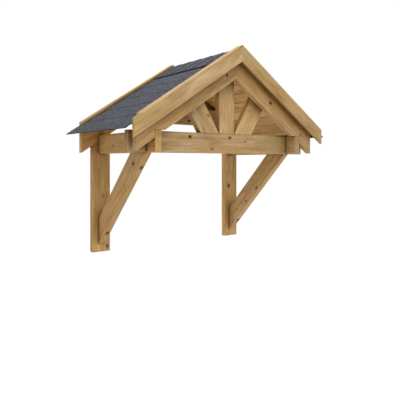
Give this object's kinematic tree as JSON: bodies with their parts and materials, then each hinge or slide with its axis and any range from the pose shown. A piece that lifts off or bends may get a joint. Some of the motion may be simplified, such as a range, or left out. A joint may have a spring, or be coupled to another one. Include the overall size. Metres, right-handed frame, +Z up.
{
  "type": "porch canopy",
  "caption": "Wall-hung timber porch canopy with a gabled felt roof, carried on wall posts, arms and braces with a king-post truss at the front.",
  "frame": {"origin": "fixing point on the back face of the left wall post, on its centre line and 100 mm above its foot", "axes": "+X along the wall from the left post to the right post, +Y into the wall, +Z up"},
  "size_m": [1.8784, 0.958, 1.5514],
  "materials": {
    "post_wood": "planed softwood, pressure treated",
    "frame_wood": "planed softwood, pressure treated",
    "board_wood": "planed softwood boards, tongued and grooved",
    "trim_wood": "planed softwood trim",
    "roofing_felt": "bitumen felt with slate granules, matte"
  },
  "bodies": {
    "root": {"left_wall_post": "post_wood", "right_wall_post": "post_wood", "left_arm": "frame_wood", "right_arm": "frame_wood", "left_brace": "frame_wood", "right_brace": "frame_wood", "front_tie_beam": "frame_wood", "king_post": "frame_wood", "left_strut": "frame_wood", "right_strut": "frame_wood", "left_front_rafter": "frame_wood", "right_front_rafter": "frame_wood", "left_rear_rafter": "frame_wood", "right_rear_rafter": "frame_wood", "rear_collar": "frame_wood", "left_roof_boards": "board_wood", "right_roof_boards": "board_wood", "left_roof_felt": "roofing_felt", "right_roof_felt": "roofing_felt", "ridge_capping": "roofing_felt", "left_barge_board": "trim_wood", "right_barge_board": "trim_wood", "left_front_batten": "trim_wood", "right_front_batten": "trim_wood", "left_rear_batten": "trim_wood", "right_rear_batten": "trim_wood"}
  },
  "joints": []
}
